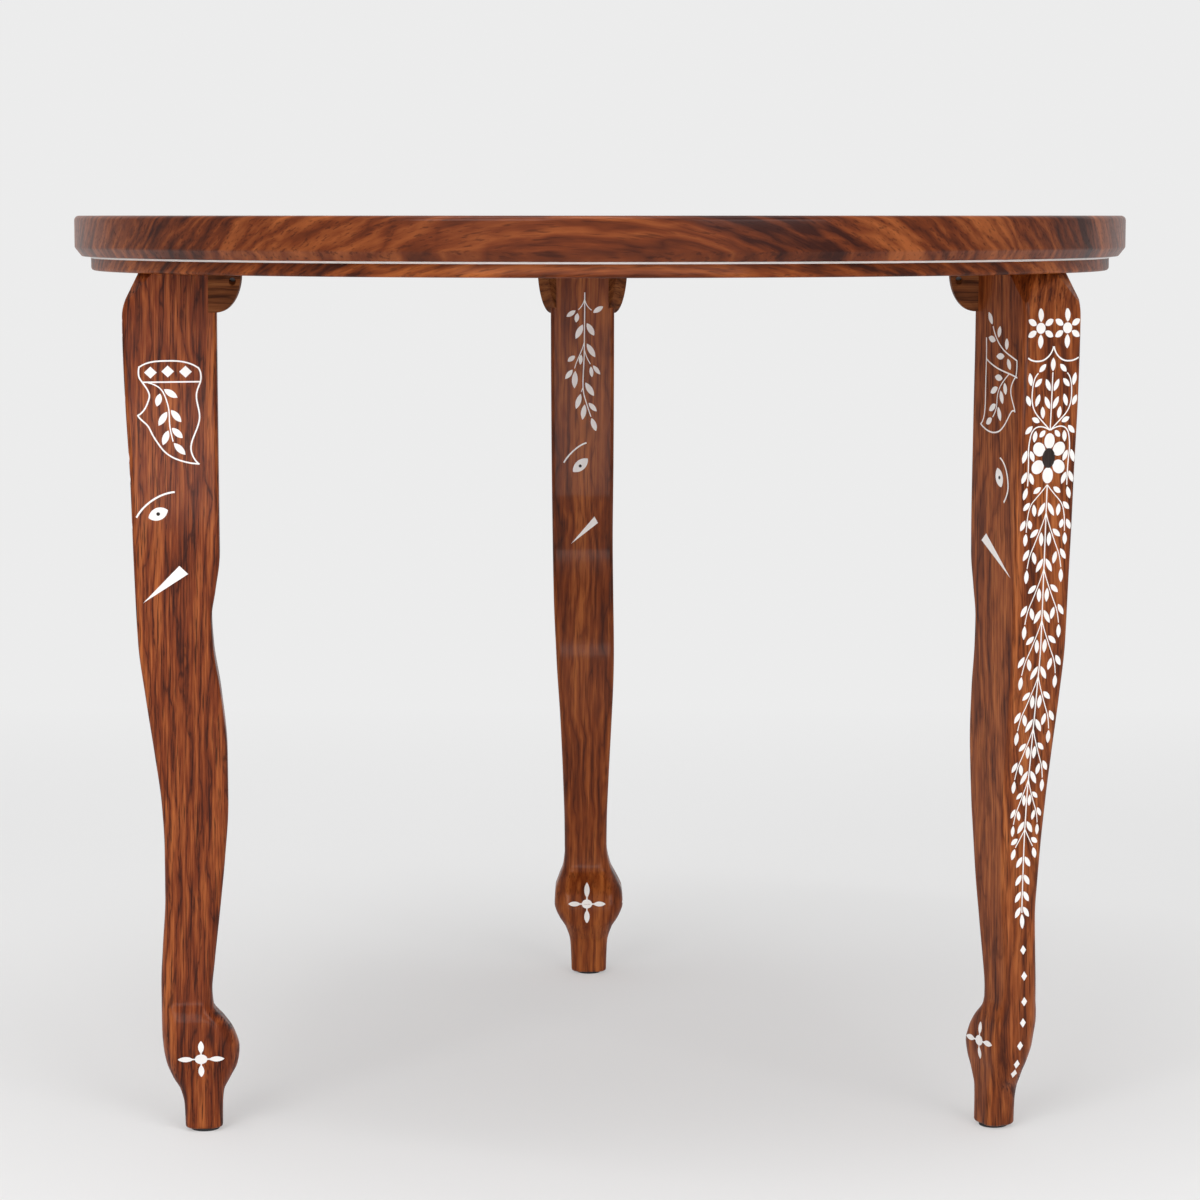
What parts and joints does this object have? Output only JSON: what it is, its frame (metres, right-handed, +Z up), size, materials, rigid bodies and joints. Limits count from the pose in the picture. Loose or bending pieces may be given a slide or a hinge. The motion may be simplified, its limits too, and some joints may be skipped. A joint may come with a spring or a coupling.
{
  "type": "chess table",
  "caption": "Round inlaid chess table: disc top with an inset board and white stringing, on three carved elephant-trunk legs with leaf inlay, knee brackets and foot glides.",
  "frame": {"origin": "on the floor, under the middle of the round top", "axes": "+Z up; -Y towards the viewer; the back leg stands on +Y and the board's sides lie along X and Y"},
  "size_m": [0.6599, 0.66, 0.553],
  "materials": {
    "back_leg_rosewood": "satin rosewood with dark pore lines",
    "board_frame_wood": "dark rosewood band, satin lacquer",
    "bracket_wood": "brown wood, duller than the legs",
    "brass": null,
    "dark_squares": "dark rosewood veneer squares, satin lacquer",
    "ebony": "black ebony dots",
    "glide_rubber": "dark rubber glide",
    "left_leg_rosewood": "satin rosewood with dark pore lines",
    "light_squares": "pale boxwood-coloured squares, satin lacquer",
    "right_leg_rosewood": "satin rosewood with dark pore lines",
    "steel": null,
    "sub_top_rosewood": "satin lacquer over red-brown rosewood",
    "top_rosewood": "satin lacquer over streaked red-brown rosewood",
    "white_inlay": null,
    "white_stringing": null
  },
  "bodies": {
    "root": {"back_bracket_screws": "steel", "back_foot_glide": "glide_rubber", "back_leg": "back_leg_rosewood", "back_leg_bolt": "steel", "back_leg_bracket_a": "bracket_wood", "back_leg_bracket_b": "bracket_wood", "back_leg_ebony_dots": "ebony", "back_leg_forehead_inlay": "white_inlay", "back_leg_inner_inlay": "white_inlay", "back_leg_left_ear_inlay": "white_inlay", "back_leg_right_ear_inlay": "white_inlay", "board_border_strings": "white_stringing", "board_dark_squares": "dark_squares", "board_frame": "board_frame_wood", "board_light_squares": "light_squares", "edge_stringing": "white_stringing", "left_bracket_screws": "steel", "left_foot_glide": "glide_rubber", "left_leg": "left_leg_rosewood", "left_leg_bolt": "steel", "left_leg_bracket_a": "bracket_wood", "left_leg_bracket_b": "bracket_wood", "left_leg_ebony_dots": "ebony", "left_leg_forehead_inlay": "white_inlay", "left_leg_left_ear_inlay": "white_inlay", "left_leg_right_ear_inlay": "white_inlay", "leg_bolt_inserts": "brass", "right_bracket_screws": "steel", "right_foot_glide": "glide_rubber", "right_leg": "right_leg_rosewood", "right_leg_bolt": "steel", "right_leg_bracket_a": "bracket_wood", "right_leg_bracket_b": "bracket_wood", "right_leg_ebony_dots": "ebony", "right_leg_forehead_inlay": "white_inlay", "right_leg_left_ear_inlay": "white_inlay", "right_leg_right_ear_inlay": "white_inlay", "rim_string": "white_stringing", "sub_top": "sub_top_rosewood", "table_top": "top_rosewood", "top_blossom_centres": "ebony", "top_spray_inlay_back": "white_inlay", "top_spray_inlay_front": "white_inlay", "top_spray_inlay_left": "white_inlay", "top_spray_inlay_right": "white_inlay"}
  },
  "joints": []
}
